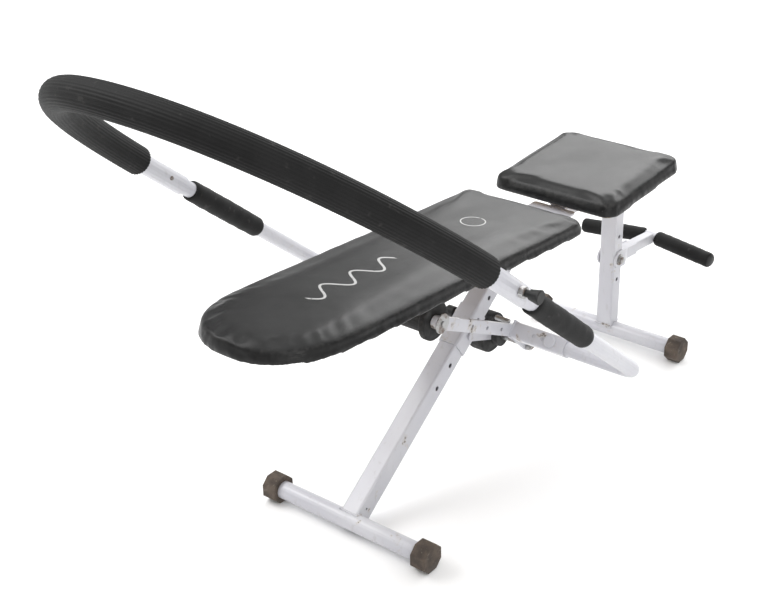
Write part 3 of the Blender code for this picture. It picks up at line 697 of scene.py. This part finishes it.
def staples(name, node, body, tilt, nose):
    """Steel staples under a pad that hold the vinyl's hem on its board."""
    low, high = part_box(node)
    middle, half = (low.x + high.x) / 2, (high.x - low.x) / 2
    first = low.y + CORNER_CLEAR
    count = round((high.y - low.y - 2 * CORNER_CLEAR) / STAPLE_PITCH)
    bm = bmesh.new()
    for i in range(count + 1):
        y = first + STAPLE_PITCH * i
        ahead = max(0.0, nose - (y - low.y)) / nose
        reach = half * (1 - ahead ** NOSE_POWER) ** (1 / NOSE_POWER) - HEM
        level = low.z + max(0.0, tilt * (y - low.y), tilt * (y - high.y))
        for sign in (-1, 1):
            size = Matrix.Diagonal((*STAPLE_SIZE, 1.0))
            place = Matrix.Translation((middle + sign * reach, y, level - STAPLE_BEVEL))
            made = bmesh.ops.create_cube(bm, size=1.0, matrix=place @ size)
            edges = {edge for vert in made["verts"] for edge in vert.link_edges}
            bmesh.ops.bevel(
                bm, geom=list(edges), offset=STAPLE_BEVEL, affect="EDGES",
                segments=1, profile=0.5, material=-1,
            )
    new_piece(name, bm, steel_finish(name, STAPLE_RUST), body)


def pads():
    back = vinyl_finish("back_vinyl", printed=True)
    pad_cover("back_cover", "back_pad", "pad", back, BACK_THICK, BACK_TILT)
    seat = vinyl_finish("seat_vinyl")
    pad_cover("seat_cover", "seat_pad", "frame", seat, SEAT_THICK, SEAT_TILT)
    staples("back_staples", "back_pad", "pad", BACK_TILT, BACK_NOSE)
    staples("seat_staples", "seat_pad", "frame", SEAT_TILT, SEAT_NOSE)


# Welds


def weld_bead(name, points, body, material, radius=BEAD_RADIUS):
    """A lumpy bead of weld along a line of points, painted over."""
    bm = bmesh.new()
    for first, second in zip(points, points[1:]):
        count = max(2, round((second - first).length / BEAD_PITCH))
        for i in range(count):
            place = first.lerp(second, i / count)
            wobble = noise.noise(place * 900)
            lump = radius * (1.0 + 0.22 * wobble)
            bmesh.ops.create_icosphere(
                bm, subdivisions=2, radius=lump, matrix=Matrix.Translation(place)
            )
    new_piece(name, bm, material, body, 60)


def foot_seam(off, x):
    """Where the beam's side, at a height across the beam, meets the front foot tube."""
    start = beam_point(0.0, off) - (BENCH + Vector((0.0, 0.0, FOOT_CENTRE)))
    level = start.dot(BEAM_ALONG)
    along = -level + math.sqrt(max(0.0, level ** 2 - start.length_squared + FOOT_RADIUS ** 2))
    return beam_point(along, off, x)


def welds():
    paint = paint_finish("weld_paint", WELD_WEAR)
    corners = [foot_seam(BEAM_HALF[1], x) for x in (-BEAM_HALF[0], BEAM_HALF[0])]
    weld_bead("beam_weld_top", corners, "frame", paint)
    for side, sign in SIDES:
        points = [foot_seam(BEAM_HALF[1] - 0.007 * i, sign * BEAM_HALF[0]) for i in range(5)]
        weld_bead("beam_weld_" + side, points, "frame", paint)
    low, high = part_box("rear_post")
    z = FOOT_HIGH.z + 0.001
    for place, y in (("front", low.y - 0.0005), ("back", high.y + 0.0005)):
        ends = [Vector((x, y, z - 0.004)) for x in (low.x, high.x)]
        weld_bead("post_weld_" + place, ends, "frame", paint)
    for side, sign in SIDES:
        x = BENCH.x + sign * SLEEVE_X
        points = []
        for a, b in ((-1, -1), (1, -1), (1, 1), (-1, 1), (-1, -1)):
            corner = CORNER + YOKE_ALONG * a * SLEEVE_HALF + YOKE_NORMAL * b * SLEEVE_HALF
            points.append(Vector((x, corner.y, corner.z)))
        weld_bead("sleeve_weld_" + side, points, "yoke", paint, 0.0022)


# Frame finishes


def dress_frame():
    """Give each CAD piece the finish of its slot, with more wear on the linkage."""
    makers = {
        "steel": lambda name: steel_finish(name, STEEL_RUST),
        "cap_rubber": cap_finish,
        "black_rubber": rubber_finish,
        "black_plastic": plastic_finish,
        "board": board_finish,
    }
    finishes = {}
    for part in frame["record"]["subparts"]:
        node, slot = part["node"], part["material_slot"]
        if slot == "paint" or node.startswith("sleeve_pin"):
            worn = LINKAGE_WEAR if node.startswith(LINKAGE) else FRAME_WEAR
            key, make = f"paint_{worn:.0f}", lambda name: paint_finish(name, worn)
        elif slot in makers:
            key, make = slot, makers[slot]
        else:
            continue
        if key not in finishes:
            finishes[key] = make(key)
        mesh = frame["nodes"][node].data
        mesh.materials.clear()
        mesh.materials.append(finishes[key])


# Studio


def add_floor():
    bm = bmesh.new()
    bmesh.ops.create_grid(bm, x_segments=1, y_segments=1, size=20)
    mesh = bpy.data.meshes.new("floor")
    bm.to_mesh(mesh)
    bm.free()
    mesh.materials.append(plain_floor("floor"))
    floor = bpy.data.objects.new("floor", mesh)
    bpy.context.scene.collection.objects.link(floor)
    floor.location.z = -0.0005


def soft_light(name, place, target, size, power):
    lamp = bpy.data.lights.new(name, "AREA")
    lamp.shape = "RECTANGLE"
    lamp.size, lamp.size_y = size
    lamp.energy = power
    light = bpy.data.objects.new(name, lamp)
    light.location = place
    light.rotation_euler = (Vector(target) - Vector(place)).to_track_quat("-Z", "Y").to_euler()
    bpy.context.scene.collection.objects.link(light)


def height_ramp(tree, height, values):
    ramp = tree.nodes.new("ShaderNodeMapRange")
    ramp.interpolation_type = "SMOOTHERSTEP"
    for socket, value in values.items():
        ramp.inputs[socket].default_value = value
    tree.links.new(height, ramp.inputs["Value"])
    return ramp.outputs[0]


def add_sky():
    """Soft light from all round, strongest overhead, so that black vinyl stays black."""
    world = bpy.data.worlds.new("studio")
    world.use_nodes = True
    tree = world.node_tree
    place = tree.nodes.new("ShaderNodeTexCoord")
    split = tree.nodes.new("ShaderNodeSeparateXYZ")
    tree.links.new(place.outputs["Generated"], split.inputs[0])
    height = split.outputs["Z"]
    overhead = height_ramp(tree, height, {"From Min": 0.15, "To Min": 0.10, "To Max": 1.55})
    low_glow = height_ramp(tree, height, {"From Max": 0.36, "To Min": 0.75, "To Max": 0.0})
    both = tree.nodes.new("ShaderNodeMath")
    tree.links.new(overhead, both.inputs[0])
    tree.links.new(low_glow, both.inputs[1])
    background = tree.nodes["Background"]
    tree.links.new(both.outputs[0], background.inputs["Strength"])
    background.inputs["Color"].default_value = (1, 1, 1, 1)
    bpy.context.scene.world = world


def add_lights():
    add_sky()
    middle = (0.0, 0.0, 0.45)
    soft_light("key", (-2.2, -1.2, 3.2), middle, (2.4, 2.4), 78)
    soft_light("rim", (-0.6, 3.4, 2.2), middle, (3.4, 1.6), 80)
    soft_light("fill", (3.0, -1.6, 1.8), middle, (2.0, 2.0), 26)
    bpy.context.scene.view_settings.view_transform = "Standard"


def add_camera():
    turn, down, roll = (math.radians(angle) for angle in CAMERA_ANGLES)
    ahead = Vector(
        (-math.sin(turn) * math.cos(down), math.cos(turn) * math.cos(down), -math.sin(down))
    )
    level = Vector((math.cos(turn), math.sin(turn), 0.0))
    upright = level.cross(ahead)
    right = level * math.cos(roll) + upright * math.sin(roll)
    top = upright * math.cos(roll) - level * math.sin(roll)
    lens = bpy.data.cameras.new("camera")
    lens.lens = CAMERA_LENS
    lens.sensor_width = CAMERA_SENSOR
    lens.sensor_fit = "HORIZONTAL"
    camera = bpy.data.objects.new("camera", lens)
    basis = Matrix((right, top, -ahead)).transposed().to_4x4()
    camera.matrix_world = Matrix.Translation(bench_point(*CAMERA_AT)) @ basis
    bpy.context.scene.collection.objects.link(camera)
    bpy.context.scene.camera = camera


def main():
    dress_frame()
    pads()
    arc_foam(foam_finish("arc_foam"))
    grips()
    welds()
    add_floor()
    add_lights()
    add_camera()


main()
